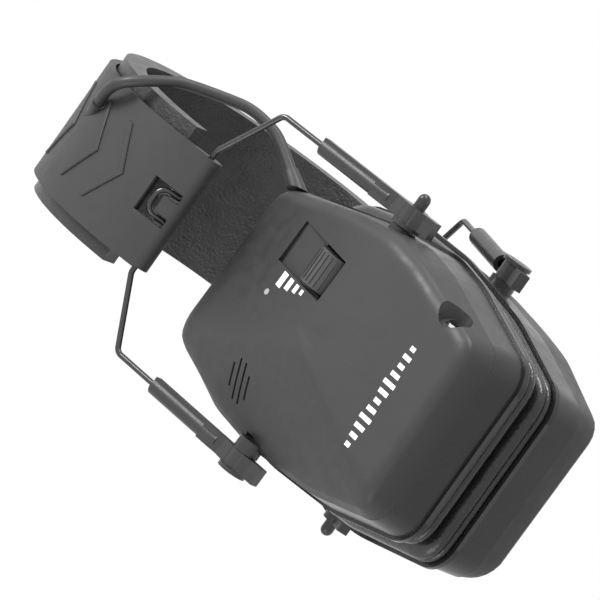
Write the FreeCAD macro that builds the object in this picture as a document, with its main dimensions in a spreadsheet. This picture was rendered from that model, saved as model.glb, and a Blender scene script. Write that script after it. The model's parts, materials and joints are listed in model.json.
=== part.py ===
"""Electronic earmuff hearing protector, as a parametric FreeCAD document.

Frame: millimetres, +Z up.  X runs from the right ear cup (-X) to the left one (+X), and the
wearer faces -Y.  The origin is under the middle of the two cups, on the plane they stand on.
Each cup and its fittings are drawn for the left side, with Z measured from the pivot pins, and
the right-hand ones are the same mouldings turned half round about Z.
"""
import FreeCAD, Part
import math
import os
import Sketcher
from FreeCAD import Placement, Rotation, Vector

SIZES = [
    # alias, millimetres (or degrees), meaning
    ("pivot_x", 22.0, "pivot pins, from the middle plane"),
    ("pivot_y", 45.2, "middle of the arms at the pivots"),
    ("pivot_z", 70.0, "pivot pins above the ground"),
    ("cushion_face", 0.35, "ear cushion face, from the middle plane"),
    ("plate_x", 7.2, "inner face of the cushion plate"),
    ("flange_x", 8.8, "outer face of the cushion plate"),
    ("seam_x", 20.3, "joint between shell and cover"),
    ("crown_x", 36.6, "crest of the cover"),
    ("wall", 2.2, "moulded wall thickness"),
    ("draft", 1.9, "inset of the cover's outer edge"),
    ("pin_radius", 2.0, "pivot pin"),
    ("pin_gap", 0.15, "clearance of the pin in the arm"),
    ("boss_radius", 4.3, "pivot boss"),
    ("pin_tail", 5.0, "rear pin beyond the arm"),
    ("arm_radius", 2.85, "arm tube"),
    ("arm_bore", 1.45, "bore of the arm tube"),
    ("arm_top", 39.5, "top of the arm tube above the pivot"),
    ("arm_bottom", 9.5, "bottom of the arm tube above the pivot"),
    ("arm_tail", 9.5, "end of the arm below the pivot"),
    ("wire_radius", 0.95, "yoke wire"),
    ("kink_x", 41.0, "yoke wire's lower bend"),
    ("kink_y", 44.2, "yoke wire's lower bend"),
    ("kink_z", 54.2, "yoke wire's lower bend above the pivots"),
    ("band_z", 97.5, "headband centre above the pivots"),
    ("band_radius", 59.0, "outer face of the headband cover"),
    ("band_cover", 2.4, "thickness of the headband cover"),
    ("band_spring", 0.8, "thickness of the spring strip"),
    ("band_pad", 7.6, "thickness of the headband pad"),
    ("band_width", 41.0, "width of the headband cover"),
    ("spring_width", 26.0, "width of the spring strip"),
    ("pad_width", 50.0, "width of the headband pad"),
    ("band_end", 35.0, "angle of the sleeves below the band's centre"),
    ("pad_end", 25.0, "angle of the pad's ends below the band's centre"),
    ("sleeve_radius", 3.9, "wire sleeve at the band's ends"),
    ("sleeve_bore", 1.05, "bore of the wire sleeve"),
    ("sleeve_length", 40.0, "wire sleeve"),
    ("loop_width", 8.8, "keeper loop, between wire centres"),
    ("loop_height", 8.0, "keeper loop above the sleeve's axis"),
    ("cable_radius", 1.8, "link cable"),
    ("wheel_radius", 7.3, "volume wheel"),
    ("wheel_width", 12.0, "volume wheel"),
    ("wheel_x", 26.7, "volume wheel's axis"),
    ("wheel_y", 16.1, "middle of the volume wheel"),
    ("wheel_z", 9.5, "volume wheel's axis above the pivots"),
    ("jack_bore", 1.8, "headphone socket bore radius"),
    ("jack_depth", 14.0, "headphone socket depth"),
    ("screw_radius", 1.25, "case screws"),
    ("mic_y", 26.6, "microphone grille, towards the front"),
    ("mic_z", 14.5, "microphone grille above the pivots"),
]

CUP_OUTLINE = [
    # y, z, corner radius: the shell at its joint with the cover, seen from outside
    (31.6, -68.0, 9.0), (40.3, -30.0, 60.0), (41.7, -14.0, 30.0), (38.0, 11.0, 60.0),
    (26.0, 57.5, 11.0), (-31.5, 58.0, 12.0), (-39.3, 25.5, 40.0), (-40.4, 2.0, 60.0),
    (-37.4, -33.0, 60.0), (-28.8, -68.0, 9.0),
]
EAR_OUTLINE = [
    # y, z, corner radius: the opening of the cushion
    (22.0, -42.0, 17.0), (26.0, 0.0, 60.0), (20.0, 38.0, 16.0),
    (-21.0, 38.0, 16.0), (-26.0, 0.0, 60.0), (-22.0, -42.0, 17.0),
]
DOME = [(36.8, 4.0), (32.2, 18.0), (28.0, 27.0), (22.0, 38.5)]  # x, distance forward of the middle
CABLE_ROUTE = [
    # x, y, z above the pivots: from the cup's strain relief to the grommet in the band
    (23.8, 30.0, 57.6), (26.5, 35.6, 67.3), (32.5, 38.0, 77.0), (40.0, 35.5, 84.5),
    (50.5, 32.0, 92.0), (61.8, 25.5, 96.0), (64.8, 18.0, 103.6), (59.0, 11.2, 109.9),
]
SCREW_PLACES = [(28.0, -36.0), (-26.0, -50.0), (20.0, 42.0), (-24.0, 42.0)]
SPEAKER_PLACE = (-4.0, -8.0)
SIDES = {"left": 0.0, "right": 180.0}
FRONT = {"left": -1, "right": 1}  # the way the wearer faces, before a cup is turned

doc = FreeCAD.newDocument("earmuff")
sheet = doc.addObject("Spreadsheet::Sheet", "sizes")
for row, (alias, value, meaning) in enumerate(SIZES, 1):
    sheet.set(f"A{row}", meaning)
    sheet.set(f"B{row}", str(value))
    sheet.setAlias(f"B{row}", alias)
doc.recompute()

nodes = {}


def mm(alias):
    """A size from the sheet."""
    return float(sheet.get(alias))


# ---------------------------------------------------------------- helpers
def bind(thing, **expressions):
    """Bind properties to sheet cells; a double underscore stands for a dot."""
    for name, expression in expressions.items():
        for alias, _, _ in SIZES:
            expression = expression.replace("$" + alias, "sizes." + alias)
        thing.setExpression(name.replace("__", "."), expression)


def keep(label, thing, side=None):
    """Register a sub-part; a sided one is put at pivot height, on its own side."""
    thing.Label = label
    if side is not None:
        bind(thing, Placement__Base__z="$pivot_z")
        thing.Placement.Rotation = Rotation(Vector(0, 0, 1), SIDES[side])
    nodes[label] = thing
    return thing


def new_body(label):
    return doc.addObject("PartDesign::Body", label)


def sketch_on(body, role, offset="0", turn=None):
    """An empty sketch on one of the body's planes, shifted along the plane's normal."""
    sketch = body.newObject("Sketcher::SketchObject", body.Name + "_sketch")
    plane = [feature for feature in body.Origin.OriginFeatures if feature.Role == role][0]
    sketch.AttachmentSupport = (plane, "")
    sketch.MapMode = "FlatFace"
    if turn is not None:
        sketch.AttachmentOffset = Placement(Vector(), turn)
    bind(sketch, AttachmentOffset__Base__z=offset)
    return sketch


def block(sketch):
    """Fix the geometry that no constraint sizes."""
    for index in range(sketch.GeometryCount):
        sketch.addConstraint(Sketcher.Constraint("Block", index))


def circle(sketch, y, z, radius):
    """A circle; its radius is an expression."""
    index = sketch.addGeometry(Part.Circle(Vector(y, z, 0), Vector(0, 0, 1), 1.0))
    place = sketch.addConstraint(Sketcher.Constraint("Radius", index, 1.0))
    bind(sketch, **{f"Constraints[{place}]": radius})


def polygon(sketch, corners):
    """A closed run of straight lines."""
    points = [Vector(*corner, 0) for corner in corners]
    for start, end in zip(points, points[1:] + points[:1]):
        sketch.addGeometry(Part.LineSegment(start, end))
    block(sketch)


def rectangle(sketch, low_x, high_x, low_y, high_y):
    polygon(sketch, [(low_x, low_y), (high_x, low_y), (high_x, high_y), (low_x, high_y)])


def offset_corners(corners, distance):
    """Corners of the outline, moved outwards by a distance."""
    count = len(corners)
    moved = []
    for index, (y, z, radius) in enumerate(corners):
        before = corners[index - 1]
        after = corners[(index + 1) % count]
        first = Vector(y - before[0], z - before[1], 0).normalize()
        second = Vector(after[0] - y, after[1] - z, 0).normalize()
        normal_1 = Vector(first.y, -first.x, 0)
        normal_2 = Vector(second.y, -second.x, 0)
        shift = (normal_1 + normal_2) * (distance / (1 + normal_1.dot(normal_2)))
        moved.append((y + shift.x, z + shift.y, max(radius + distance, 1.0)))
    return moved


def outline(sketch, corners, distance=0.0):
    """A closed outline of straight lines joined by tangent arcs."""
    corners = offset_corners(corners, distance)
    count = len(corners)
    arcs = []
    for index, (y, z, radius) in enumerate(corners):
        here = Vector(y, z, 0)
        to_before = (Vector(*corners[index - 1][:2], 0) - here).normalize()
        to_after = (Vector(*corners[(index + 1) % count][:2], 0) - here).normalize()
        half = to_before.getAngle(to_after) / 2
        reach = radius / math.tan(half)
        bisector = (to_before + to_after).normalize()
        middle = here + bisector * (radius / math.sin(half) - radius)
        arcs.append((here + to_before * reach, middle, here + to_after * reach))
    for index, (start, middle, end) in enumerate(arcs):
        sketch.addGeometry(Part.Arc(start, middle, end))
        following = arcs[(index + 1) % count][0]
        sketch.addGeometry(Part.LineSegment(end, following))
    block(sketch)


def pad(body, sketch, length, symmetric=False):
    feature = body.newObject("PartDesign::Pad", body.Name + "_pad")
    feature.Profile = sketch
    feature.SideType = "Symmetric" if symmetric else "One side"
    bind(feature, Length=length)
    return feature


def pocket(body, sketch, length, symmetric=False, towards_normal=True):
    """A pocket; it has to take material away, or the build stops."""
    doc.recompute()
    before = body.Shape.Volume
    feature = body.newObject("PartDesign::Pocket", body.Name + "_pocket")
    feature.Profile = sketch
    feature.SideType = "Symmetric" if symmetric else "One side"
    feature.Reversed = towards_normal
    bind(feature, Length=length)
    doc.recompute()
    if body.Shape.Volume > before - 0.01:
        raise RuntimeError(feature.Name + " cuts nothing")
    return feature


def fillet(body, base, radius, wanted):
    """Round the edges of a feature that the test picks."""
    doc.recompute()
    names = [f"Edge{i}" for i, edge in enumerate(base.Shape.Edges, 1) if wanted(edge)]
    feature = body.newObject("PartDesign::Fillet", body.Name + "_fillet")
    feature.Base = (base, names)
    feature.Radius = radius
    doc.recompute()
    return feature


def primitive(kind, name, placement=None, **expressions):
    thing = doc.addObject("Part::" + kind, name)
    if placement is not None:
        thing.Placement = placement
    bind(thing, **expressions)
    return thing


def cylinder(name, radius, height, at, along):
    """A cylinder from a point along a direction; radius and height are expressions."""
    return primitive("Cylinder", name, Placement(Vector(*at), Rotation(Vector(0, 0, 1), Vector(*along))),
                     Radius=radius, Height=height)


def box(name, low, high):
    thing = doc.addObject("Part::Box", name)
    thing.Length, thing.Width, thing.Height = (high[i] - low[i] for i in range(3))
    thing.Placement = Placement(Vector(*low), Rotation())
    return thing


def fuse(name, things):
    thing = doc.addObject("Part::MultiFuse", name)
    thing.Shapes = things
    return thing


def cut(name, base, tools):
    thing = doc.addObject("Part::Cut", name)
    thing.Base = base
    thing.Tool = tools[0] if len(tools) == 1 else fuse(name + "_tools", tools)
    return thing


def common(name, base, tool):
    thing = doc.addObject("Part::Common", name)
    thing.Base = base
    thing.Tool = tool
    return thing


def compound(name, things):
    thing = doc.addObject("Part::Compound", name)
    thing.Links = things
    return thing


def route_wire(points, radii):
    """Straight runs joined by tangent arcs."""
    points = [Vector(*point) for point in points]
    edges = []
    start = points[0]
    for before, here, after, radius in zip(points, points[1:], points[2:], radii):
        to_before = (before - here).normalize()
        to_after = (after - here).normalize()
        half = to_before.getAngle(to_after) / 2
        reach = radius / math.tan(half)
        bisector = (to_before + to_after).normalize()
        middle = here + bisector * (radius / math.sin(half) - radius)
        arc_start = here + to_before * reach
        arc_end = here + to_after * reach
        if (arc_start - start).Length > 1e-6:
            edges.append(Part.LineSegment(start, arc_start).toShape())
        edges.append(Part.Arc(arc_start, middle, arc_end).toShape())
        start = arc_end
    edges.append(Part.LineSegment(start, points[-1]).toShape())
    return Part.Wire(edges)


def tube(label, points, radii, radius):
    """A round bar along a route, as a Part::Feature."""
    wire = route_wire(points, radii)
    direction = Vector(*points[1]) - Vector(*points[0])
    section = Part.Wire([Part.makeCircle(radius, Vector(*points[0]), direction)])
    solid = wire.makePipeShell([section], True, True)
    expected = math.pi * radius ** 2 * wire.Length
    print(f"{label}: length {wire.Length:.1f} mm, volume ratio {solid.Volume / expected:.4f}")
    thing = doc.addObject("Part::Feature", label)
    thing.Shape = solid
    return thing


def cable_radii(points):
    """The largest arc radius that each turn's two runs allow."""
    points = [Vector(*point) for point in points]
    radii = []
    for before, here, after in zip(points, points[1:], points[2:]):
        shorter = min((here - before).Length, (after - here).Length)
        turn = (here - before).getAngle(after - here)
        radii.append(0.45 * shorter / math.tan(turn / 2))
    return radii


# ---------------------------------------------------------------- ear cups
def wheel_room(label):
    """The space that the volume wheel turns in."""
    half = mm("wheel_width") / 2 + 0.6
    return cylinder(f"{label}_wheel_room", "$wheel_radius + 0.6", f"{2 * half}",
                    (mm("wheel_x"), mm("wheel_y") - half, mm("wheel_z")), (0, 1, 0))


def ring_plate(label, side, low, high, grow, hole_grow):
    """A flat ring of the cup's outline round the ear opening."""
    body = new_body(label)
    face = sketch_on(body, "YZ_Plane", low)
    outline(face, CUP_OUTLINE, grow)
    pad(body, face, f"{high} - {low}")
    hole = sketch_on(body, "YZ_Plane", low)
    outline(hole, EAR_OUTLINE, hole_grow)
    pocket(body, hole, f"{high} - {low}")
    return keep(label, body, side)


def ear_cushion(side):
    body = ring_plate(f"{side}_ear_cushion", side, "$cushion_face", "$plate_x", 1.2, -1.5)
    base = body.Tip
    rim = mm("cushion_face") + 0.01
    fillet(body, base, 2.4, lambda edge: edge.BoundBox.XMax < rim)


def shell(side):
    """The acoustic bowl, with the pivot bosses and pins."""
    label = f"{side}_shell"
    body = new_body(label + "_bowl")
    for place, grow in (("$flange_x", 1.0), ("$seam_x", 0.0)):
        face = sketch_on(body, "YZ_Plane", place)
        outline(face, CUP_OUTLINE, grow)
        if grow:
            first = face
    loft = body.newObject("PartDesign::AdditiveLoft", body.Name + "_loft")
    loft.Profile = first
    loft.Sections = [face]
    loft.Ruled = True
    hollow = sketch_on(body, "YZ_Plane", "$flange_x")
    outline(hollow, CUP_OUTLINE, -mm("wall"))
    pocket(body, hollow, "$seam_x - $flange_x - $wall")
    holes = sketch_on(body, "YZ_Plane", "$seam_x - $wall")
    for y, z in SCREW_PLACES:
        circle(holes, y, z, "$screw_radius + 0.2")
    circle(holes, 12.0, 30.0, "3.0")
    pocket(body, holes, "$wall")
    arm_face = mm("pivot_y") - mm("arm_radius")
    x = mm("pivot_x")
    pins = []
    for way, reach, boss_end in ((1, mm("arm_radius") + mm("pin_tail"), arm_face - 1.7),
                                 (-1, mm("arm_radius") + 1.4, arm_face - 0.1)):
        start = 36.0
        pins.append(cylinder(f"{label}_boss", "$boss_radius", f"{boss_end - start}",
                             (x, way * start, 0), (0, way, 0)))
        length = mm("pivot_y") + reach - start
        pins.append(cylinder(f"{label}_pin", "$pin_radius", f"{length - mm('pin_radius') * (way > 0)}",
                             (x, way * start, 0), (0, way, 0)))
        if way > 0:
            end = primitive("Sphere", f"{label}_pin_end",
                            Placement(Vector(x, start + length - mm("pin_radius"), 0), Rotation()),
                            Radius="$pin_radius")
            pins.append(end)
    inside = box(f"{label}_clear", (mm("seam_x"), -38.0, -10), (40, 37.4, 10))
    lugs = cut(f"{label}_lugs", fuse(f"{label}_pins", pins), [inside])
    if side == "right":
        keep(label, fuse(label, [body, lugs]), side)
    else:
        keep(label, cut(label, fuse(f"{label}_whole", [body, lugs]), [wheel_room(label)]), side)


def cover_block(label, side):
    """The cover's outside: drafted walls, two facets meeting at a slanted crease, a domed front."""
    body = new_body(label + "_block")
    for place, grow in (("$seam_x", 0.0), ("$crown_x + 2", -mm("draft"))):
        face = sketch_on(body, "YZ_Plane", place)
        outline(face, CUP_OUTLINE, grow)
        if place == "$seam_x":
            first = face
    loft = body.newObject("PartDesign::AdditiveLoft", body.Name + "_loft")
    loft.Profile = first
    loft.Sections = [face]
    loft.Ruled = True
    slant = Rotation(Vector(1, 0, 0), -8.0 if side == "left" else 8.0)
    facets = sketch_on(body, "XZ_Plane", "0", slant)
    crest = mm("crown_x")
    polygon(facets, [(28.2, -82.0), (crest, -11.0), (22.2, 74.0), (60.0, 74.0), (60.0, -82.0)])
    pocket(body, facets, "120", symmetric=True)
    front = FRONT[side]
    edge = [(x, front * forward) for x, forward in DOME]
    dome = sketch_on(body, "XY_Plane", "0")
    polygon(dome, edge + [(edge[-1][0], front * 60.0), (60.0, front * 60.0), (60.0, edge[0][1])])
    pocket(body, dome, "200", symmetric=True)
    return body


def cover(side):
    """The outer cover, hollow behind the facets."""
    label = f"{side}_cover"
    body = cover_block(label, side)
    wall = mm("wall")
    for depth, inset in ((2.5, wall + 3.8), (5.5, wall + 10.8)):
        hollow = sketch_on(body, "YZ_Plane", "$seam_x")
        outline(hollow, CUP_OUTLINE, -inset)
        pocket(body, hollow, f"{depth}")
    slots = sketch_on(body, "YZ_Plane", "$seam_x")
    middle_y = mm("mic_y") * FRONT[side]
    half_slot = 0.5
    for row, half_length in enumerate((3.6, 6.2, 6.2, 3.6)):
        z = mm("mic_z") + 3.2 * (row - 1.5)
        rectangle(slots, middle_y - half_length, middle_y + half_length, z - half_slot, z + half_slot)
    pocket(body, slots, "20")
    posts = sketch_on(body, "YZ_Plane", "$seam_x")
    for y, z in SCREW_PLACES:
        circle(posts, y, z, "$screw_radius + 1.6")
    pad(body, posts, "5")
    pilots = sketch_on(body, "YZ_Plane", "$seam_x")
    for y, z in SCREW_PLACES:
        circle(pilots, y, z, "$screw_radius")
    pocket(body, pilots, "4.2")
    x = mm("pivot_x")
    tools = [cylinder(f"{label}_lug_room", "$boss_radius + 0.05", "24", (x, way * 36.9, 0), (0, way, 0))
             for way in (1, -1)]
    tools.append(cylinder(f"{label}_mic_room", "4.9", "4.6", (mm("seam_x"), middle_y, mm("mic_z")), (1, 0, 0)))
    if side == "left":
        wheel_y = mm("wheel_y")
        tools.append(box(f"{label}_window", (28.2, wheel_y - 7.3, -2.0), (45.0, wheel_y + 7.3, 31.0)))
        tools.append(wheel_room(label))
        tools.append(box(f"{label}_pot_room", (22.0, 4.4, 4.2), (30.6, 9.6, 14.8)))
        tools.append(cylinder(f"{label}_led_room", "1.0", "30", (mm("seam_x"), -0.5, 25.0), (1, 0, 0)))
        tools.append(cylinder(f"{label}_jack_room", "3.3", "30", (27.0, 13.8, -51.5), (0, 1, 0)))
        scoop = Placement(Vector(28.0, 31.0, -51.5), Rotation(Vector(0, 0, 1), Vector(0.5, 0.86, 0)))
        tools.append(primitive("Cone", f"{label}_scoop", scoop, Radius1="4.6", Radius2="11.0",
                               Height="20"))
    else:
        tools.append(box(f"{label}_door_room", (20.0, -14.2, -40.2), (45.0, 14.2, 13.2)))
    keep(label, cut(label, body, tools), side)


def battery_door():
    """A flush flap cut from the same facets as the right cover."""
    block_body = cover_block("battery_door", "right")
    inner = cover_block("battery_door_inner", "right")
    inner.Placement.Base.x = -1.0
    panel = box("battery_door_panel", (29.0, -13.9, -39.9), (45.0, 13.9, 12.9))
    skin = cut("battery_door_skin", block_body, [inner])
    keep("battery_door", common("battery_door", skin, panel), "right")


def plain_round(label, side, radius, height, at, along):
    """A round sub-part; the compound carries the side's placement."""
    keep(label, compound(label, [cylinder(label + "_round", radius, height, at, along)]), side)


def speaker_set(side):
    """Foam, speaker and bracket in the bowl."""
    floor = mm("seam_x") - mm("wall")
    body = new_body(f"{side}_foam_insert")
    face = sketch_on(body, "YZ_Plane", "$flange_x + 2.0")
    outline(face, CUP_OUTLINE, -mm("wall") - 0.05)
    pad(body, face, "1.9")
    keep(f"{side}_foam_insert", body, side)
    y, z = SPEAKER_PLACE
    plain_round(f"{side}_speaker", side, "14.0", "4.6", (floor - 4.9, y, z), (1, 0, 0))
    ring = cylinder(f"{side}_bracket_ring", "16.6", "5.2", (floor - 5.2, y, z), (1, 0, 0))
    room = cylinder(f"{side}_bracket_room", "14.0", "6", (floor - 6, y, z), (1, 0, 0))
    keep(f"{side}_speaker_bracket", cut(f"{side}_speaker_bracket", ring, [room]), side)


def screws(side):
    """Four case screws, driven from inside the bowl into the cover's posts."""
    floor = mm("seam_x") - mm("wall")
    solids = []
    for y, z in SCREW_PLACES:
        head = cylinder(f"{side}_screw_head", "2.4", "1.6", (floor - 1.6, y, z), (1, 0, 0))
        shank = cylinder(f"{side}_screw_shank", "$screw_radius", "6.0", (floor - 0.2, y, z), (1, 0, 0))
        solids.append(fuse(f"{side}_screw", [head, shank]))
    keep(f"{side}_cover_screws", compound(f"{side}_cover_screws", solids), side)


def microphone(side):
    y, z = mm("mic_y") * FRONT[side], mm("mic_z")
    plain_round(f"{side}_microphone", side, "3.0", "3.0", (21.0, y, z), (1, 0, 0))
    plain_round(f"{side}_microphone_mesh", side, "4.6", "0.5", (24.2, y, z), (1, 0, 0))


def cable_boot(side):
    """Tapered strain relief at the top of the cup, up to where the cable starts."""
    start, following = Vector(*CABLE_ROUTE[0]), Vector(*CABLE_ROUTE[1])
    along = (following - start).normalize()
    foot = start - along * 11.0
    boot = primitive("Cone", f"{side}_cable_boot", Placement(foot, Rotation(Vector(0, 0, 1), along)),
                     Radius1="3.3", Radius2="2.3", Height="11.0")
    inside = new_body(f"{side}_boot_trim")
    face = sketch_on(inside, "YZ_Plane", "$seam_x - 12")
    outline(face, CUP_OUTLINE, 0.15)
    pad(inside, face, "30")
    keep(f"{side}_cable_boot", cut(f"{side}_cable_boot", boot, [inside]), side)


def left_controls():
    """Volume wheel, its potentiometer, circuit board, lamp and headphone socket."""
    side = "left"
    axis_x, y, z = mm("wheel_x"), mm("wheel_y"), mm("wheel_z")
    half = mm("wheel_width") / 2
    rim = cylinder("wheel_rim", "$wheel_radius", "$wheel_width", (axis_x, y - half, z), (0, 1, 0))
    hub = cylinder("wheel_bore", "1.6", "$wheel_width", (axis_x, y - half, z), (0, 1, 0))
    keep("volume_wheel", cut("volume_wheel", rim, [hub]), side)
    case = box("pot_case", (21.6, y - half - 5.4, z - 5), (axis_x + 3.5, y - half - 0.8, z + 5))
    shaft = cylinder("pot_shaft", "1.5", "$wheel_width + 0.6", (axis_x, y - half - 0.8, z), (0, 1, 0))
    keep("volume_control", fuse("volume_control", [case, shaft]), side)
    board = box("circuit_board_plate", (20.5, -22, -40), (21.5, 8.0, 32))
    keep("circuit_board", cut("circuit_board", board, [box("board_notch", (20, 2, 10), (22, 9, 12))]),
         side)
    plain_round("status_lamp", side, "1.0", "9.3", (21.6, -0.5, 25.0), (1, 0, 0))
    case = cylinder("socket_case", "3.3", "$jack_depth + 2", (27.0, 13.9, -51.5), (0, 1, 0))
    bore = cylinder("socket_bore", "$jack_bore", "$jack_depth", (27.0, 15.9, -51.5), (0, 1, 0))
    keep("headphone_socket", cut("headphone_socket", case, [bore]), side)
    ring = cylinder("ring_outside", "3.1", "1.0", (27.0, 29.9, -51.5), (0, 1, 0))
    hole = cylinder("ring_hole", "$jack_bore", "1.0", (27.0, 29.9, -51.5), (0, 1, 0))
    keep("socket_ring", cut("socket_ring", ring, [hole]), side)


def right_power():
    """Two AAA cells in line with the cup, their tray and their contacts."""
    cells = []
    for y in (-5.7, 5.7):
        body = cylinder("cell", "5.2", "43.3", (26.9, y, -36.0), (0, 0, 1))
        tip = cylinder("cell_tip", "1.9", "1.2", (26.9, y, 7.3), (0, 0, 1))
        cells.append(fuse("battery", [body, tip]))
    keep("batteries", compound("batteries", cells), "right")
    plates = [box("contact", (22.5, y - 4, z), (31.0, y + 4, z + 0.6))
              for y in (-5.7, 5.7) for z in (-36.7, 8.6)]
    keep("battery_contacts", compound("battery_contacts", plates), "right")
    tray = box("tray_block", (20.4, -13.6, -39.6), (30.0, 13.6, 12.2))
    room = box("tray_room", (21.4, -12.0, -36.7), (31.0, 12.0, 9.2))
    keep("battery_tray", cut("battery_tray", tray, [room]), "right")


# ---------------------------------------------------------------- arms and yokes
def arm(side, way, name):
    """A snap-on arm: a tube for the wire, a hook round the pin, and a straight rail."""
    label = f"{side}_{name}_arm"
    body = new_body(label)
    round_face = sketch_on(body, "XY_Plane", "$arm_bottom")
    circle(round_face, 0, 0, "$arm_radius")
    pad(body, round_face, "$arm_top - $arm_bottom")
    eye = sketch_on(body, "XZ_Plane", "0")
    circle(eye, 0.4, 0, "$pin_radius + 1.9")
    pad(body, eye, "2 * $arm_radius", symmetric=True)
    web = sketch_on(body, "XZ_Plane", "0")
    tail = mm("arm_tail")
    web_corners = [(0.6, 16.0), (2.7, 16.0), (2.7, 10.5), (2.1, 7.5), (3.6, 3.0), (3.9, -2.5),
                   (2.4, -5.2), (2.6, -tail), (-1.0, -tail), (-1.2, -3.0), (-2.5, 2.5), (0.4, 6.5)]
    polygon(web, web_corners)
    pad(body, web, "2 * $arm_radius", symmetric=True)
    rail = sketch_on(body, "XY_Plane", "-$arm_tail")
    rectangle(rail, -0.6, 2.3, mm("arm_radius") - 1.4, mm("arm_radius"))
    pad(body, rail, "$arm_top + $arm_tail")
    flange = sketch_on(body, "XZ_Plane", "$arm_radius")
    circle(flange, 0.4, 0, "$pin_radius + 2.8")
    pad(body, flange, "1.3")
    bore = sketch_on(body, "XY_Plane", "$arm_bottom - 6")
    circle(bore, 0, 0, "$arm_bore")
    pocket(body, bore, "$arm_top + 10")
    hole = sketch_on(body, "XZ_Plane", "0")
    circle(hole, 0, 0, "$pin_radius + $pin_gap")
    pocket(body, hole, "4 * $arm_radius", symmetric=True)
    keep(label, body, side)
    turned = Rotation(Vector(0, 0, 1), SIDES[side])
    leg = Vector(mm("kink_x") - mm("pivot_x"), way * (mm("kink_y") - mm("pivot_y")), mm("kink_z"))
    lean = Rotation(Vector(0, 0, 1), leg)
    foot = Vector(mm("pivot_x"), way * mm("pivot_y"), mm("pivot_z"))
    body.Placement = Placement(turned.multVec(foot), turned * lean)
    bind(body, Placement__Base__z="$pivot_z")


def sleeve_axis():
    """The middle of the left wire sleeve, above the pivots."""
    radius = mm("band_radius") - mm("sleeve_radius")
    angle = math.radians(mm("band_end"))
    return Vector(radius * math.cos(angle), 0, mm("band_z") - radius * math.sin(angle))


def yoke_wire(side):
    """One bent wire: two legs, and a keeper loop in the middle of the sleeve."""
    axis = sleeve_axis()
    angle = math.radians(mm("band_end"))
    up_band = Vector(math.sin(angle), 0, math.cos(angle))
    outwards = Vector(math.cos(angle), 0, -math.sin(angle))
    tip = axis + up_band * (mm("loop_height") - 0.7) + outwards * 2.2
    half = mm("loop_width") / 2
    kink = Vector(mm("kink_x"), mm("kink_y"), mm("kink_z"))
    pivot = Vector(mm("pivot_x"), mm("pivot_y"), 0)
    leg_end = pivot + (kink - pivot).normalize() * 18.0
    half_route = [leg_end, kink, Vector(axis.x, 22.6, axis.z), Vector(axis.x, half, axis.z),
                  Vector(tip.x, half, tip.z)]
    mirrored = [Vector(point.x, -point.y, point.z) for point in reversed(half_route)]
    radii = [3.0, 2.6, 1.2, 3.4, 3.4, 1.2, 2.6, 3.0]
    thing = tube(f"{side}_yoke_wire", half_route + mirrored, radii, mm("wire_radius"))
    keep(f"{side}_yoke_wire", thing, side)


def link_cable(side):
    radii = cable_radii(CABLE_ROUTE)
    print(f"{side} cable arc radii:", [round(radius, 1) for radius in radii])
    keep(f"{side}_link_cable", tube(f"{side}_link_cable", CABLE_ROUTE, radii, mm("cable_radius")), side)


# ---------------------------------------------------------------- headband
def band_sector(label, outer, thickness, width, end):
    """A curved strip round the headband's centre; outer and thickness are lengths."""
    body = new_body(label)
    face = sketch_on(body, "XZ_Plane", "0")
    low = math.radians(-end)
    high = math.pi - low

    def at(radius, angle):
        return Vector(radius * math.cos(angle), radius * math.sin(angle) + mm("band_z"), 0)
    inner = outer - thickness
    top = math.pi / 2
    face.addGeometry(Part.Arc(at(outer, low), at(outer, top), at(outer, high)))
    face.addGeometry(Part.LineSegment(at(outer, high), at(inner, high)))
    face.addGeometry(Part.Arc(at(inner, high), at(inner, top), at(inner, low)))
    face.addGeometry(Part.LineSegment(at(inner, low), at(outer, low)))
    block(face)
    pad(body, face, width, symmetric=True)
    return body


def cable_end(way):
    """Where a link cable ends at the headband, and the way it points."""
    end, before = Vector(*CABLE_ROUTE[-1]), Vector(*CABLE_ROUTE[-2])
    turned = Rotation(Vector(0, 0, 1), 0 if way > 0 else 180)
    return turned.multVec(end), turned.multVec((end - before).normalize())


def headband():
    outer, cover_t, spring_t = mm("band_radius"), mm("band_cover"), mm("band_spring")
    end = mm("band_end")
    strip = band_sector("band_strip", outer, cover_t, "$band_width", end)
    axis = sleeve_axis()
    sleeves, tools = [], []
    for way in (1, -1):
        turn = Placement(Vector(), Rotation(Vector(0, 0, 1), 0 if way > 0 else 180))
        start = turn.multVec(Vector(axis.x, -mm("sleeve_length") / 2, axis.z))
        sleeves.append(cylinder("sleeve", "$sleeve_radius", "$sleeve_length", start, (0, way, 0)))
        bore = turn.multVec(Vector(axis.x, -40, axis.z))
        tools.append(cylinder("sleeve_room", "$sleeve_bore", "80", bore, (0, way, 0)))
        for y in (-1, 1):
            tools.append(loop_slot(way, y))
        tools.append(loop_slot(way, 0))
        spot, aim = cable_end(way)
        tools.append(cylinder("cable_hole", "$cable_radius + 0.6", "30", spot - aim * 5, aim))
    cover_all = cut("headband_cover", fuse("cover_raw", [strip] + sleeves), tools)
    keep("headband_cover", cover_all)
    bind(cover_all, Placement__Base__z="$pivot_z")
    spring = band_sector("headband_spring", outer - cover_t, spring_t, "$spring_width", 22.0)
    keep("headband_spring", spring)
    bind(spring, Placement__Base__z="$pivot_z")
    pad_outer = outer - cover_t - spring_t
    pad_solid = band_sector("headband_pad", pad_outer, mm("band_pad"), "$pad_width", mm("pad_end"))
    keep("headband_pad", pad_solid)
    bind(pad_solid, Placement__Base__z="$pivot_z")
    grommets = []
    for way in (1, -1):
        spot, aim = cable_end(way)
        grommets.append(cylinder("grommet", "$cable_radius + 0.55", "20", spot, aim))
    trim = cylinder("grommet_trim", "$band_radius - $band_cover", "60", (0, 30, mm("band_z")), (0, -1, 0))
    group = cut("cable_grommets", compound("grommet_pair", grommets), [trim])
    keep("cable_grommets", group)
    bind(group, Placement__Base__z="$pivot_z")


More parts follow.
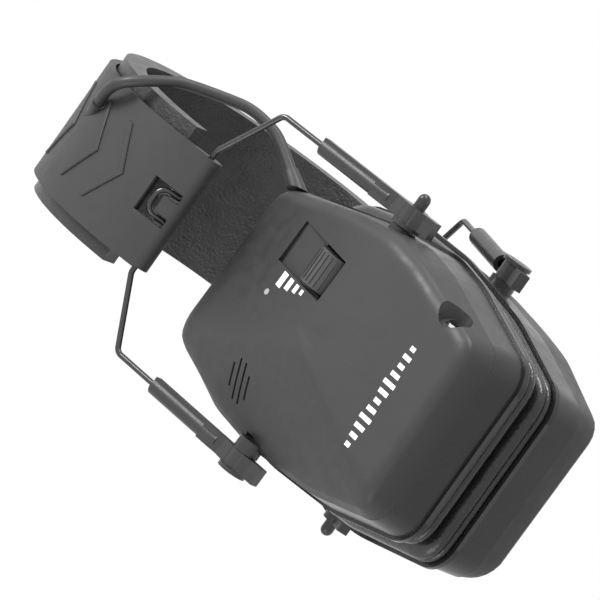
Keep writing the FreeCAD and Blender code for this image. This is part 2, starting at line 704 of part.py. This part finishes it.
def loop_slot(way, leg):
    """Room for the keeper loop: a slot for each leg and one for its top."""
    angle = mm("band_end")
    axis = sleeve_axis()
    half = mm("loop_width") / 2
    room = mm("wire_radius") + 0.75
    thing = doc.addObject("Part::Box", "loop_slot")
    if leg:
        low, high = Vector(-6.0, leg * half - room, -0.9), Vector(9.0, leg * half + room, 9.5)
    else:
        low, high = Vector(-6.0, -half - room, mm("loop_height") - 3.6), Vector(9.0, half + room, 10.4)
    thing.Length, thing.Width, thing.Height = high - low
    lean = Rotation(Vector(0, 1, 0), angle)
    turned = Rotation(Vector(0, 0, 1), 0 if way > 0 else 180)
    thing.Placement = Placement(turned.multVec(axis + lean.multVec(low)), turned * lean)
    return thing


# ---------------------------------------------------------------- build
for side_name in SIDES:
    shell(side_name)
    cover(side_name)
    ring_plate(f"{side_name}_cushion_plate", side_name, "$plate_x", "$flange_x", 2.0, 0.0)
    ear_cushion(side_name)
    speaker_set(side_name)
    screws(side_name)
    microphone(side_name)
    cable_boot(side_name)
    arm(side_name, 1, "rear" if side_name == "left" else "front")
    arm(side_name, -1, "front" if side_name == "left" else "rear")
    yoke_wire(side_name)
    link_cable(side_name)
left_controls()
right_power()
battery_door()
headband()
doc.recompute()

for thing in doc.Objects:
    if "Invalid" in thing.State or "Error" in thing.State:
        raise RuntimeError(f"{thing.Name} ({thing.Label}): {thing.State}")
for label, thing in nodes.items():
    if thing.Shape.isNull() or not thing.Shape.isValid() or not thing.Shape.Solids:
        raise RuntimeError(label + " has no valid shape")

os.makedirs("parts", exist_ok=True)
for label, thing in nodes.items():
    thing.Shape.exportStep(f"parts/{label}.step")
print(len(nodes), "sub-parts written")
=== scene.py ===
import json
import math
import bpy
import bmesh
from mathutils import Matrix, Vector


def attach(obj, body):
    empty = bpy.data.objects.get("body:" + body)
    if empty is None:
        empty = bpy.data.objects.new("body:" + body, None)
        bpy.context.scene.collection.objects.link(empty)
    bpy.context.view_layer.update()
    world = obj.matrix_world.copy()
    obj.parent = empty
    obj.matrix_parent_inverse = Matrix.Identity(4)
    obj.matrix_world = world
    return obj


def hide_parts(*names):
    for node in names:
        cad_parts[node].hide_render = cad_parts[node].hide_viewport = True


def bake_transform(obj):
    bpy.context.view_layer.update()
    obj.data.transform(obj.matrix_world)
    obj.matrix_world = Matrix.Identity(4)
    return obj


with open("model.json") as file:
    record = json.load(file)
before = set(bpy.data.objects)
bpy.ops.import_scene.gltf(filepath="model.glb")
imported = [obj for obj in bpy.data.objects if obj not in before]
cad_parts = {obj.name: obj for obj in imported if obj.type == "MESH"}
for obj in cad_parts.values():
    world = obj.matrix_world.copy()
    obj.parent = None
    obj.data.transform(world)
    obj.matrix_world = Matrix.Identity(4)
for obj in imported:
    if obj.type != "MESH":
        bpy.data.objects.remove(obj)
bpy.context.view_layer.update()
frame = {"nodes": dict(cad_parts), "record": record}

MM = 0.001
PIVOT_Z = 70.0
BAND_Z, BAND_R = 97.5 + PIVOT_Z, 59.0
SEAM_X, CROWN_X, CREASE_Z = 20.3, 36.6, -11.0
LOW_FACET_X, LOW_FACET_RUN = 28.2, 71.0      # height reached at this distance below the crease
HIGH_FACET_X, HIGH_FACET_RUN = 22.2, 85.0    # and above it
CREASE_SLANT = math.radians(8.0)
OUTSIDE_X = 45.0                             # clear of the cover, where cutting tools end
GRILLE_Y, GRILLE_Z, SLOT_PITCH = 26.6, 14.5, 3.2
WHEEL_X, WHEEL_Z = 26.7, 9.5
JACK_X, JACK_Z = 27.0, -51.5
LAMP_Y, LAMP_Z = -0.5, 25.0
EAR_MIDDLE_Z = -3.0

# Outlines in mm: y, z above the pivots, corner radius; the same as the CAD's
CUP_OUTLINE = [
    (31.6, -68.0, 9.0), (40.3, -30.0, 60.0), (41.7, -14.0, 30.0), (38.0, 11.0, 60.0),
    (26.0, 57.5, 11.0), (-31.5, 58.0, 12.0), (-39.3, 25.5, 40.0), (-40.4, 2.0, 60.0),
    (-37.4, -33.0, 60.0), (-28.8, -68.0, 9.0),
]
EAR_OUTLINE = [
    (22.0, -42.0, 17.0), (26.0, 0.0, 60.0), (20.0, 38.0, 16.0),
    (-21.0, 38.0, 16.0), (-26.0, 0.0, 60.0), (-22.0, -42.0, 17.0),
]
DOME = [(36.8, 4.0), (32.2, 18.0), (28.0, 27.0), (22.0, 38.5)]  # x, distance forward of the middle
CABLE_ROUTE = [
    (23.8, 30.0, 57.6), (26.5, 35.6, 67.3), (32.5, 38.0, 77.0), (40.0, 35.5, 84.5),
    (50.5, 32.0, 92.0), (61.8, 25.5, 96.0), (64.8, 18.0, 103.6), (59.0, 11.2, 109.9),
]
TURN = {"left": Matrix.Identity(4), "right": Matrix.Rotation(math.pi, 4, "Z")}
FRONT = {"left": -1, "right": 1}


# ---------------------------------------------------------------- materials
def noise(tree, coords, scale, detail=3.0, rough=0.5):
    node = tree.nodes.new("ShaderNodeTexNoise")
    node.inputs["Scale"].default_value = scale
    node.inputs["Detail"].default_value = detail
    node.inputs["Roughness"].default_value = rough
    tree.links.new(coords, node.inputs["Vector"])
    return node.outputs["Fac"]


def cells(tree, coords, scale, feature="F1"):
    node = tree.nodes.new("ShaderNodeTexVoronoi")
    node.feature = feature
    node.inputs["Scale"].default_value = scale
    tree.links.new(coords, node.inputs["Vector"])
    return node.outputs["Distance"]


def span(tree, value, low, high):
    """The value, mapped from 0.3..0.7 to low..high."""
    node = tree.nodes.new("ShaderNodeMapRange")
    node.inputs["From Min"].default_value = 0.3
    node.inputs["From Max"].default_value = 0.7
    node.inputs["To Min"].default_value = low
    node.inputs["To Max"].default_value = high
    tree.links.new(value, node.inputs["Value"])
    return node.outputs["Result"]


def material(name, colour, rough, grain=None, grain_depth=0.0, cell=None, cell_depth=0.0,
             wave=None, wave_depth=0.0, vary=0.12, metallic=0.0, coat=0.0, spec=0.5):
    """A procedural finish: mottled colour, uneven gloss, and up to three scales of bump."""
    made = bpy.data.materials.new(name)
    made.use_nodes = True
    tree = made.node_tree
    shader = tree.nodes["Principled BSDF"]
    coords = tree.nodes.new("ShaderNodeTexCoord").outputs["Object"]
    broad = noise(tree, coords, 60.0, 4.0)
    mix = tree.nodes.new("ShaderNodeMix")
    mix.data_type = "RGBA"
    mix.inputs["A"].default_value = (*[c * (1 - vary) for c in colour], 1)
    mix.inputs["B"].default_value = (*[min(c * (1 + vary), 1) for c in colour], 1)
    tree.links.new(span(tree, broad, 0, 1), mix.inputs["Factor"])
    tree.links.new(mix.outputs["Result"], shader.inputs["Base Color"])
    fine = noise(tree, coords, 240.0, 3.0)
    gloss = span(tree, fine, max(rough - 0.06, 0.02), min(rough + 0.06, 1))
    tree.links.new(gloss, shader.inputs["Roughness"])
    shader.inputs["Metallic"].default_value = metallic
    shader.inputs["Specular IOR Level"].default_value = spec
    shader.inputs["Coat Weight"].default_value = coat
    shader.inputs["Coat Roughness"].default_value = 0.15
    normal = None
    layers = (("wave", wave, wave_depth), ("cell", cell, cell_depth), ("grain", grain, grain_depth))
    for kind, scale, depth in layers:
        if scale is None:
            continue
        bump = tree.nodes.new("ShaderNodeBump")
        bump.inputs["Distance"].default_value = depth * MM
        bump.inputs["Strength"].default_value = 1.0
        height = cells(tree, coords, scale) if kind == "cell" else noise(tree, coords, scale, 4.0)
        tree.links.new(height, bump.inputs["Height"])
        if normal is not None:
            tree.links.new(normal, bump.inputs["Normal"])
        normal = bump.outputs["Normal"]
    if normal is not None:
        tree.links.new(normal, shader.inputs["Normal"])
    return made


FINISH = {
    "cover_plastic": material("cover_plastic", (0.023, 0.023, 0.0245), 0.5, grain=1900, grain_depth=0.03,
                              vary=0.04),
    "shell_plastic": material("shell_plastic", (0.02, 0.02, 0.021), 0.3, grain=1500, grain_depth=0.02),
    "arm_plastic": material("arm_plastic", (0.026, 0.026, 0.027), 0.33, grain=1500, grain_depth=0.03),
    "plate_plastic": material("plate_plastic", (0.018, 0.018, 0.019), 0.24, grain=900, grain_depth=0.01),
    "cushion_leather": material("cushion_leather", (0.016, 0.016, 0.017), 0.28, cell=1300, cell_depth=0.06,
                                wave=170, wave_depth=0.5, coat=0.25),
    "band_leather": material("band_leather", (0.02, 0.02, 0.021), 0.4, cell=1100, cell_depth=0.1,
                             wave=110, wave_depth=0.35),
    "foam": material("foam", (0.05, 0.05, 0.05), 0.95, cell=900, cell_depth=0.5),
    "wire_paint": material("wire_paint", (0.018, 0.018, 0.018), 0.22, grain=700, grain_depth=0.002, coat=0.3),
    "spring_steel": material("spring_steel", (0.35, 0.36, 0.38), 0.32,
                             grain=800, grain_depth=0.01, metallic=1),
    "screw_steel": material("screw_steel", (0.55, 0.55, 0.56), 0.3, grain=900, grain_depth=0.01, metallic=1),
    "rubber": material("rubber", (0.024, 0.024, 0.025), 0.5, grain=1300, grain_depth=0.006),
    "speaker_body": material("speaker_body", (0.03, 0.03, 0.031), 0.5, grain=1200, grain_depth=0.03),
    "wheel_rubber": material("wheel_rubber", (0.05, 0.05, 0.051), 0.42, grain=1500, grain_depth=0.03),
    "mesh": material("mesh", (0.012, 0.012, 0.012), 0.8, cell=2500, cell_depth=0.2),
    "microphone_can": material("microphone_can", (0.6, 0.6, 0.62), 0.35,
                               grain=900, grain_depth=0.01, metallic=1),
    "board": material("board", (0.01, 0.09, 0.03), 0.35, grain=500, grain_depth=0.02),
    "lamp": material("lamp", (0.3, 0.3, 0.29), 0.25, grain=300, grain_depth=0.01),
    "ring_chrome": material("ring_chrome", (0.82, 0.82, 0.83), 0.1, grain=700, grain_depth=0.003, metallic=1),
    "contact_metal": material("contact_metal", (0.6, 0.5, 0.25), 0.3,
                              grain=900, grain_depth=0.01, metallic=1),
    "battery_wrap": material("battery_wrap", (0.12, 0.13, 0.16), 0.35, grain=700, grain_depth=0.01),
}
PRINT = material("white_print", (0.82, 0.82, 0.82), 0.5, grain=1900, grain_depth=0.02, vary=0.04)
SLOT_OF = {entry["node"]: entry["material_slot"] for entry in frame["record"]["subparts"]}


# ---------------------------------------------------------------- mesh helpers
def new_object(name, verts, faces, slot, body, finish=None, smooth_angle=35.0):
    """A mesh piece from points in mm, with its finish, riding on a body (or on none yet)."""
    mesh = bpy.data.meshes.new(name)
    mesh.from_pydata([Vector(v) * MM for v in verts], [], faces)
    piece = bpy.data.objects.new(name, mesh)
    bpy.context.collection.objects.link(piece)
    tidy(piece, smooth_angle)
    mesh.materials.append(finish or FINISH[slot])
    if body:
        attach(piece, body)
    return piece


def tidy(piece, smooth_angle=35.0):
    """Outward normals and smooth shading up to an angle."""
    made = bmesh.new()
    made.from_mesh(piece.data)
    bmesh.ops.remove_doubles(made, verts=made.verts, dist=1e-6)
    bmesh.ops.recalc_face_normals(made, faces=made.faces)
    made.to_mesh(piece.data)
    made.free()
    piece.data.polygons.foreach_set("use_smooth", [True] * len(piece.data.polygons))
    piece.data.set_sharp_from_angle(angle=math.radians(smooth_angle))


def loops_to_solid(loops, close=False):
    """Quads between closed loops of equal length; ends are capped, or joined to each other."""
    count = len(loops[0])
    verts = [point for loop in loops for point in loop]
    faces = []
    pairs = list(zip(range(len(loops)), range(1, len(loops))))
    if close:
        pairs.append((len(loops) - 1, 0))
    for a, b in pairs:
        for i in range(count):
            j = (i + 1) % count
            faces.append((a * count + i, a * count + j, b * count + j, b * count + i))
    if not close:
        faces.append(tuple(range(count)))
        faces.append(tuple(range((len(loops) - 1) * count, len(loops) * count)))
    return verts, faces


def apply_modifiers(piece):
    depsgraph = bpy.context.evaluated_depsgraph_get()
    mesh = bpy.data.meshes.new_from_object(piece.evaluated_get(depsgraph))
    piece.modifiers.clear()
    piece.data = mesh


def cut_away(piece, tools):
    """Subtract closed tools, given as (verts, faces) in mm, and drop them."""
    for verts, faces in tools:
        combine(piece, verts, faces, "DIFFERENCE")


def combine(piece, verts, faces, operation):
    mesh = bpy.data.meshes.new("tool")
    mesh.from_pydata([Vector(v) * MM for v in verts], [], faces)
    made = bmesh.new()
    made.from_mesh(mesh)
    bmesh.ops.recalc_face_normals(made, faces=made.faces)
    made.to_mesh(mesh)
    made.free()
    tool = bpy.data.objects.new("tool", mesh)
    bpy.context.collection.objects.link(tool)
    step = piece.modifiers.new("cut", "BOOLEAN")
    step.operation, step.solver, step.object = operation, "EXACT", tool
    bpy.context.view_layer.update()
    apply_modifiers(piece)
    bpy.data.objects.remove(tool)


def brick(low, high):
    x0, y0, z0 = low
    x1, y1, z1 = high
    verts = [(x, y, z) for x in (x0, x1) for y in (y0, y1) for z in (z0, z1)]
    return verts, [(0, 1, 3, 2), (4, 6, 7, 5), (0, 4, 5, 1), (2, 3, 7, 6), (0, 2, 6, 4), (1, 5, 7, 3)]


def rod(start, end, radius, end_radius=None, sides=48):
    """A closed cylinder or cone between two points, in mm."""
    start, end = Vector(start), Vector(end)
    along = (end - start).normalized()
    across = along.orthogonal().normalized()
    other = along.cross(across)
    rings = []
    for point, size in ((start, radius), (end, end_radius or radius)):
        rings.append([point + (across * math.cos(2 * math.pi * i / sides)
                               + other * math.sin(2 * math.pi * i / sides)) * size for i in range(sides)])
    return loops_to_solid(rings)


# ---------------------------------------------------------------- cup outlines
def outline_points(corners, distance, count=200):
    """Evenly spaced points of a rounded outline, moved outwards by a distance."""
    moved = []
    total = len(corners)
    for i, (y, z, radius) in enumerate(corners):
        before, after = corners[i - 1], corners[(i + 1) % total]
        first = Vector((y - before[0], z - before[1])).normalized()
        second = Vector((after[0] - y, after[1] - z)).normalized()
        n1, n2 = Vector((first.y, -first.x)), Vector((second.y, -second.x))
        shift = (n1 + n2) * (distance / (1 + n1.dot(n2)))
        moved.append((Vector((y, z)) + shift, max(radius + distance, 1.0)))
    dense = []
    for i, (here, radius) in enumerate(moved):
        to_before = (moved[i - 1][0] - here).normalized()
        to_after = (moved[(i + 1) % total][0] - here).normalized()
        half = to_before.angle(to_after) / 2
        reach = radius / math.tan(half)
        centre = here + (to_before + to_after).normalized() * (radius / math.sin(half))
        start, end = here + to_before * reach, here + to_after * reach
        a0 = math.atan2(start.y - centre.y, start.x - centre.x)
        a1 = math.atan2(end.y - centre.y, end.x - centre.x)
        turn = (a1 - a0 + math.pi) % (2 * math.pi) - math.pi
        for k in range(13):
            angle = a0 + turn * k / 12
            dense.append(centre + Vector((math.cos(angle), math.sin(angle))) * radius)
    return resample(dense, count)


def resample(points, count):
    """Points by their direction from the middle, so that nested loops line up."""
    result = []
    for i in range(count):
        want = -math.pi + 2 * math.pi * (i + 0.5) / count
        ray = Vector((math.cos(want), math.sin(want)))
        best = None
        for a, b in zip(points, points[1:] + points[:1]):
            edge = b - a
            cross = ray.x * edge.y - ray.y * edge.x
            if abs(cross) < 1e-9:
                continue
            t = (a.x * edge.y - a.y * edge.x) / cross
            s = (a.x * ray.y - a.y * ray.x) / cross
            if t > 0 and -1e-6 <= s <= 1 + 1e-6 and (best is None or t > best):
                best = t
        result.append(ray * best)
    return result


def facet_height(y, z):
    """X of the left cover: two facets softened along their slanted crease, and the domed front."""
    crease = CREASE_Z - math.tan(CREASE_SLANT) * y
    low_slope = (CROWN_X - LOW_FACET_X) / LOW_FACET_RUN
    high_slope = (CROWN_X - HIGH_FACET_X) / HIGH_FACET_RUN
    away = z - crease
    soft = 5.0
    blend = math.sqrt(away * away + soft * soft)
    mean, half = (low_slope - high_slope) / 2, (low_slope + high_slope) / 2
    height = CROWN_X + mean * away - half * (blend - soft * 0.25)
    for (high, near), (low, far) in zip(DOME, DOME[1:]):
        if near <= -y:
            height = min(height, max(high + (low - high) * (-y - near) / (far - near), low))
    return height


def place(points, x_of, side, z0=PIVOT_Z):
    """Loop points (y, z) at a given x, turned to the side."""
    turn = TURN[side]
    return [turn @ Vector((x_of(p.x, p.y), p.x, p.y + z0)) for p in points]


# ---------------------------------------------------------------- covers
def cover_loops(side):
    """Closed shell: rounded outside, open hollow behind it."""
    loops = []
    wall_top = 0.55
    for inset, share in ((0.0, 0.0), (0.05, 0.02), (0.9 * wall_top, 0.30), (0.8, 0.48)):
        loops.append((inset, share))
    loops.append((1.1, 0.62))
    steps = 9
    for k in range(steps + 1):
        angle = math.pi / 2 * k / steps
        loops.append((1.3 + 4.6 * (1 - math.cos(angle)), 0.70 + 0.30 * math.sin(angle)))
    loops += [(7.5, 1.0), (12.0, 1.0), (18.0, 1.0), (25.0, 1.0), (32.0, 1.0)]
    made = []
    mirror = 1 if side == "left" else -1

    def height(y, z):
        return facet_height(y * mirror, z)
    for inset, share in loops:
        points = outline_points(CUP_OUTLINE, -inset)
        made.append(place(points, lambda y, z, s=share: SEAM_X + (height(y, z) - SEAM_X) * s, side))
    last = outline_points(CUP_OUTLINE, -32.0)
    for scale in (0.6, 0.3, 0.05):
        made.append(place([p * scale for p in last], height, side))
    inner = [(5.8, SEAM_X), (5.8, 22.0), (13.0, 22.0), (13.0, 24.2)]
    hollow = [place(outline_points(CUP_OUTLINE, -inset), lambda y, z, x=x: x, side) for inset, x in inner]
    return made, hollow


def make_cover(side):
    outer, hollow = cover_loops(side)
    verts, faces = loops_to_solid(list(reversed(hollow)) + outer)
    cover = new_object(f"{side}_cover_skin", verts, faces, "cover_plastic", None)
    turn = TURN[side]
    tools = []

    def turned(tool):
        return [turn @ Vector(v) for v in tool[0]], tool[1]
    grille_y = GRILLE_Y * FRONT[side]
    for row, half_length in enumerate((3.6, 6.2, 6.2, 3.6)):
        z = GRILLE_Z + SLOT_PITCH * (row - 1.5) + PIVOT_Z
        tools.append(brick((20.9, grille_y - half_length, z - 0.5),
                           (OUTSIDE_X, grille_y + half_length, z + 0.5)))
    for way in (1, -1):
        tools.append(rod((22.0, way * 36.9, PIVOT_Z), (22.0, way * 46.0, PIVOT_Z), 4.4))
    if side == "left":
        tools.append(brick((28.2, 8.8, -2.0 + PIVOT_Z), (OUTSIDE_X, 23.4, 31.0 + PIVOT_Z)))
        tools.append(rod((WHEEL_X, 9.5, WHEEL_Z + PIVOT_Z), (WHEEL_X, 22.7, WHEEL_Z + PIVOT_Z), 7.9))
        tools.append(rod((25.0, LAMP_Y, LAMP_Z + PIVOT_Z), (OUTSIDE_X, LAMP_Y, LAMP_Z + PIVOT_Z), 1.05))
        tools.append(rod((JACK_X, 13.8, JACK_Z + PIVOT_Z), (JACK_X, 43.0, JACK_Z + PIVOT_Z), 3.35))
        tools.append(rod((28.0, 31.0, JACK_Z + PIVOT_Z), (38.0, 48.2, JACK_Z + PIVOT_Z), 4.6, 11.0))
    else:
        tools.append(brick((20.0, -14.2, -40.2 + PIVOT_Z), (OUTSIDE_X, 14.2, 13.2 + PIVOT_Z)))
    cut_away(cover, [turned(tool) for tool in tools])
    tidy(cover, 30.0)
    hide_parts(f"{side}_cover")
    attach(cover, f"{side}_cup")
    return cover


for cup_side in ("left", "right"):
    make_cover(cup_side)


# ---------------------------------------------------------------- print, wheel ribs and chevrons
def prism(corners, base, top):
    """A closed prism on the left cover's face: corners are (y, z) above the pivots."""
    low = [Vector((facet_height(y, z) + base, y, z + PIVOT_Z)) for y, z in corners]
    high = [Vector((facet_height(y, z) + top, y, z + PIVOT_Z)) for y, z in corners]
    n = len(corners)
    sides = [(i, (i + 1) % n, (i + 1) % n + n, i + n) for i in range(n)]
    return low + high, [tuple(range(n))[::-1], tuple(range(n, 2 * n))] + sides


def gather(solids):
    verts, faces = [], []
    for points, polygons in solids:
        faces += [tuple(i + len(verts) for i in polygon) for polygon in polygons]
        verts += points
    return verts, faces


wedge = [(22.0, 5.0, 3.2), (17.0, 3.9, 2.7), (12.4, 2.8, 2.2), (8.4, 1.7, 1.7)]
PRINT_BASE, PRINT_TOP = -0.1, 0.07           # print starts in the surface and stands just proud of it
WEDGE_Y = 8.0                                # the side of the wedge that lines up with the window


def printed_bar(y0, y1, middle, tall):
    low, high = middle - tall / 2, middle + tall / 2
    return prism([(y0, low), (y1, low), (y1, high), (y0, high)], PRINT_BASE, PRINT_TOP)


solids = [printed_bar(WEDGE_Y - width, WEDGE_Y, z, tall) for z, width, tall in wedge]
new_object("volume_mark", *gather(solids), "cover_plastic", "left_cup", PRINT)
levels = [2.2, 3.4, 4.6, 5.5, 4.2, 3.0, 4.4, 5.5, 4.0, 2.8, 3.6, 2.2]
BAR_PITCH, BAR_HALF, BARS_Y, BARS_Z = 3.1, 0.75, 1.0, -48.0
places = [BARS_Y + BAR_PITCH * (i - (len(levels) - 1) / 2) for i in range(len(levels))]
solids = [printed_bar(y - BAR_HALF, y + BAR_HALF, BARS_Z, tall) for y, tall in zip(places, levels)]
new_object("level_bars", *gather(solids), "cover_plastic", "left_cup", PRINT)

ribs = []
RIBS = 26
for k in range(RIBS):
    turn_k = Matrix.Rotation(2 * math.pi * k / RIBS, 3, "Y")
    points, faces = brick((6.9, 10.8, -0.32), (7.6, 21.4, 0.32))
    ribs.append(([turn_k @ Vector(v) + Vector((WHEEL_X, 0, WHEEL_Z + PIVOT_Z)) for v in points], faces))
new_object("wheel_ribs", *gather(ribs), "wheel_rubber", "volume_dial")


def band_point(radius, angle, y):
    angle = math.radians(angle)
    return Vector((radius * math.cos(angle), y, BAND_Z + radius * math.sin(angle)))


for band_side in ("left", "right"):
    for number, apex in enumerate((22.0, 0.0, -14.0)):
        sections = []
        for j in range(19):
            y = -13.5 + 1.5 * j
            angle = apex + 8.0 * abs(y) / 13.5
            ring = [(-0.2, -1.1), (0.35, -1.1), (0.6, -0.7), (0.6, 0.7), (0.35, 1.1), (-0.2, 1.1)]
            sections.append([TURN[band_side] @ band_point(BAND_R + rise, angle + off, y)
                             for rise, off in ring])
        new_object(f"{band_side}_chevron_{number}", *loops_to_solid(sections), "cover_plastic", "headband")


# ---------------------------------------------------------------- ear cushions
def by_angle(points, count=240):
    """Radii of a star-shaped loop at even angles round the ear's middle."""
    middle = Vector((0.0, EAR_MIDDLE_Z))
    polar = sorted((math.atan2(p.y - middle.y, p.x - middle.x), (Vector((p.x, p.y)) - middle).length)
                   for p in points)
    polar = [(polar[-1][0] - 2 * math.pi, polar[-1][1])] + polar + [(polar[0][0] + 2 * math.pi, polar[0][1])]
    out, i = [], 0
    for k in range(count):
        angle = -math.pi + 2 * math.pi * (k + 0.5) / count
        while polar[i + 1][0] < angle:
            i += 1
        (a0, r0), (a1, r1) = polar[i], polar[i + 1]
        radius = r0 + (r1 - r0) * (angle - a0) / (a1 - a0)
        out.append((angle, radius))
    return out


def ear_cushion(side):
    """A crowned ring with a sewn seam on its outer side and slight puckers beside it."""
    hole = by_angle(outline_points(EAR_OUTLINE, -1.2))
    rim = by_angle(outline_points(CUP_OUTLINE, 0.9))
    profile = [(0.04, 7.15), (0.5, 7.15), (0.97, 7.15), (1.0, 6.3), (0.995, 5.2), (0.968, 4.75), (0.995, 4.3),
               (1.0, 3.3), (0.975, 2.0), (0.9, 1.0), (0.75, 0.5), (0.5, 0.38), (0.28, 0.5), (0.12, 1.0),
               (0.03, 2.0), (0.0, 3.4), (0.0, 5.6)]
    loops = []
    for share, x in profile:
        loop = []
        for (angle, inner), (_, outer) in zip(hole, rim):
            near_seam = max(0.0, 1 - abs(x - 4.0) / 3.2)
            pucker = 0.10 * math.sin(37 * angle + 1.3) * math.sin(11 * angle) * near_seam
            radius = inner + (outer - inner) * share - abs(pucker)
            z = radius * math.sin(angle) + EAR_MIDDLE_Z + PIVOT_Z
            loop.append(TURN[side] @ Vector((x, radius * math.cos(angle), z)))
        loops.append(loop)
    piece = new_object(f"{side}_cushion_skin", *loops_to_solid(loops, close=True), "cushion_leather",
                       f"{side}_cup", smooth_angle=70.0)
    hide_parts(f"{side}_ear_cushion")


for cup_side in ("left", "right"):
    ear_cushion(cup_side)


# ---------------------------------------------------------------- CAD nodes keep their shape
for name, node in frame["nodes"].items():
    node.data.materials.clear()
    node.data.materials.append(FINISH[SLOT_OF[name]])


# ---------------------------------------------------------------- cables
def nurbs_line(points):
    """A smooth line through the route's control points, in metres."""
    curve = bpy.data.curves.new("route", "CURVE")
    curve.dimensions = "3D"
    spline = curve.splines.new("NURBS")
    spline.points.add(len(points) - 1)
    for target, point in zip(spline.points, points):
        target.co = (*point, 1.0)
    spline.order_u = 3
    spline.use_endpoint_u = True
    spline.resolution_u = 16
    holder = bpy.data.objects.new("route", curve)
    bpy.context.collection.objects.link(holder)
    mesh = bpy.data.meshes.new_from_object(holder.evaluated_get(bpy.context.evaluated_depsgraph_get()))
    line = [vertex.co.copy() for vertex in mesh.vertices]
    bpy.data.objects.remove(holder)
    return line


def tube_along(line, radius, end_radius=None, sides=20):
    """Rings carried along a line without twist; metres in, mm out."""
    end_radius = end_radius or radius
    rings = []
    tangent = (line[1] - line[0]).normalized()
    across = tangent.orthogonal().normalized()
    for i, point in enumerate(line):
        ahead = (line[min(i + 1, len(line) - 1)] - line[max(i - 1, 0)]).normalized()
        across = (across - ahead * across.dot(ahead)).normalized()
        other = ahead.cross(across)
        size = radius + (end_radius - radius) * i / (len(line) - 1)
        rings.append([(point + (across * math.cos(2 * math.pi * k / sides)
                                + other * math.sin(2 * math.pi * k / sides)) * size) / MM
                      for k in range(sides)])
    return loops_to_solid(rings)


def cable(side):
    """A curved, tapering strain relief on the cup, then the link cable in two spans, one across each joint;
    all are fixed tubes in world place, attached to no body.
    """
    turn = TURN[side]
    route = [turn @ (Vector((x, y, z + PIVOT_Z)) * MM) for x, y, z in CABLE_ROUTE]
    relief_end = route[1].lerp(route[2], 0.3)
    middle_end = route[4].lerp(route[5], 0.15)
    line = nurbs_line([route[0], route[1], relief_end])
    relief = new_object(f"{side}_strain_relief", *tube_along(line, 1.9 * MM, 1.8 * MM), "rubber", None)
    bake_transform(relief)
    spans = [(f"{side}_cable_low", [relief_end, *route[2:5], middle_end], f"{side}_arms", f"{side}_yoke"),
             (f"{side}_cable_high", [middle_end, *route[5:]], f"{side}_yoke", "headband")]
    for name, points, low_body, high_body in spans:
        line = nurbs_line(points)
        piece = new_object(name, *tube_along(line, 1.8 * MM), "rubber", None, smooth_angle=60.0)
        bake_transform(piece)
        if name.endswith("low"):
            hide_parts(f"{side}_link_cable")


for cable_side in ("left", "right"):
    cable(cable_side)


# ---------------------------------------------------------------- floor, light and camera
def stage_material(name, colour):
    """Pale, and see-through from below, so that it doesn't hide the object."""
    made = bpy.data.materials.new(name)
    made.use_nodes = True
    tree = made.node_tree
    shader = tree.nodes["Principled BSDF"]
    shader.inputs["Base Color"].default_value = (*colour, 1)
    shader.inputs["Roughness"].default_value = 0.9
    clear = tree.nodes.new("ShaderNodeBsdfTransparent")
    mix = tree.nodes.new("ShaderNodeMixShader")
    back = tree.nodes.new("ShaderNodeNewGeometry")
    thin = tree.nodes.new("ShaderNodeMath")
    thin.operation = "MAXIMUM"
    thin.inputs[1].default_value = 0.7
    tree.links.new(back.outputs["Backfacing"], thin.inputs[0])
    tree.links.new(thin.outputs["Value"], mix.inputs["Fac"])
    tree.links.new(shader.outputs["BSDF"], mix.inputs[1])
    tree.links.new(clear.outputs["BSDF"], mix.inputs[2])
    tree.links.new(mix.outputs["Shader"], tree.nodes["Material Output"].inputs["Surface"])
    return made


floor_mesh = bpy.data.meshes.new("floor")
floor_mesh.from_pydata([(-2, -2, 0), (2, -2, 0), (2, 2, 0), (-2, 2, 0)], [], [(0, 1, 2, 3)])
floor = bpy.data.objects.new("floor", floor_mesh)
floor_mesh.materials.append(stage_material("floor", (0.9, 0.9, 0.9)))
bpy.context.collection.objects.link(floor)

world = bpy.data.worlds.new("studio")
bpy.context.scene.world = world
world.use_nodes = True
world.node_tree.nodes["Background"].inputs["Color"].default_value = (1, 1, 1, 1)
world.node_tree.nodes["Background"].inputs["Strength"].default_value = 1.0


def area_light(name, at, aim, size, power):
    data = bpy.data.lights.new(name, "AREA")
    data.shape = "RECTANGLE"
    data.size, data.size_y = size
    data.energy = power
    light = bpy.data.objects.new(name, data)
    light.location = at
    light.rotation_euler = (Vector(aim) - Vector(at)).to_track_quat("-Z", "Y").to_euler()
    bpy.context.collection.objects.link(light)


MIDDLE = (0.0, 0.0, 0.11)
area_light("key", (1.1, 0.6, 0.7), MIDDLE, (0.5, 0.5), 16)
area_light("rim", (0.2, 1.2, 0.1), MIDDLE, (0.25, 0.9), 10)
area_light("fill", (0.7, -0.9, -0.5), MIDDLE, (0.8, 0.8), 6)

CAMERA_AT = (1.46623, 0.29484, -1.65697)
CAMERA_RIGHT = (-0.675691, 0.574007, -0.462557)
CAMERA_UP = (0.379772, 0.808833, 0.448956)
CAMERA_BACK = (0.631835, 0.12769, -0.764513)
camera_data = bpy.data.cameras.new("camera")
camera_data.sensor_width = 36.0
camera_data.angle = math.radians(4.5267)
camera_data.clip_start, camera_data.clip_end = 0.05, 20.0
camera = bpy.data.objects.new("camera", camera_data)
axes = Matrix((CAMERA_RIGHT, CAMERA_UP, CAMERA_BACK)).transposed().to_4x4()
camera.matrix_world = Matrix.Translation(CAMERA_AT) @ axes
bpy.context.collection.objects.link(camera)
bpy.context.scene.camera = camera
bpy.context.scene.view_settings.view_transform = "Standard"
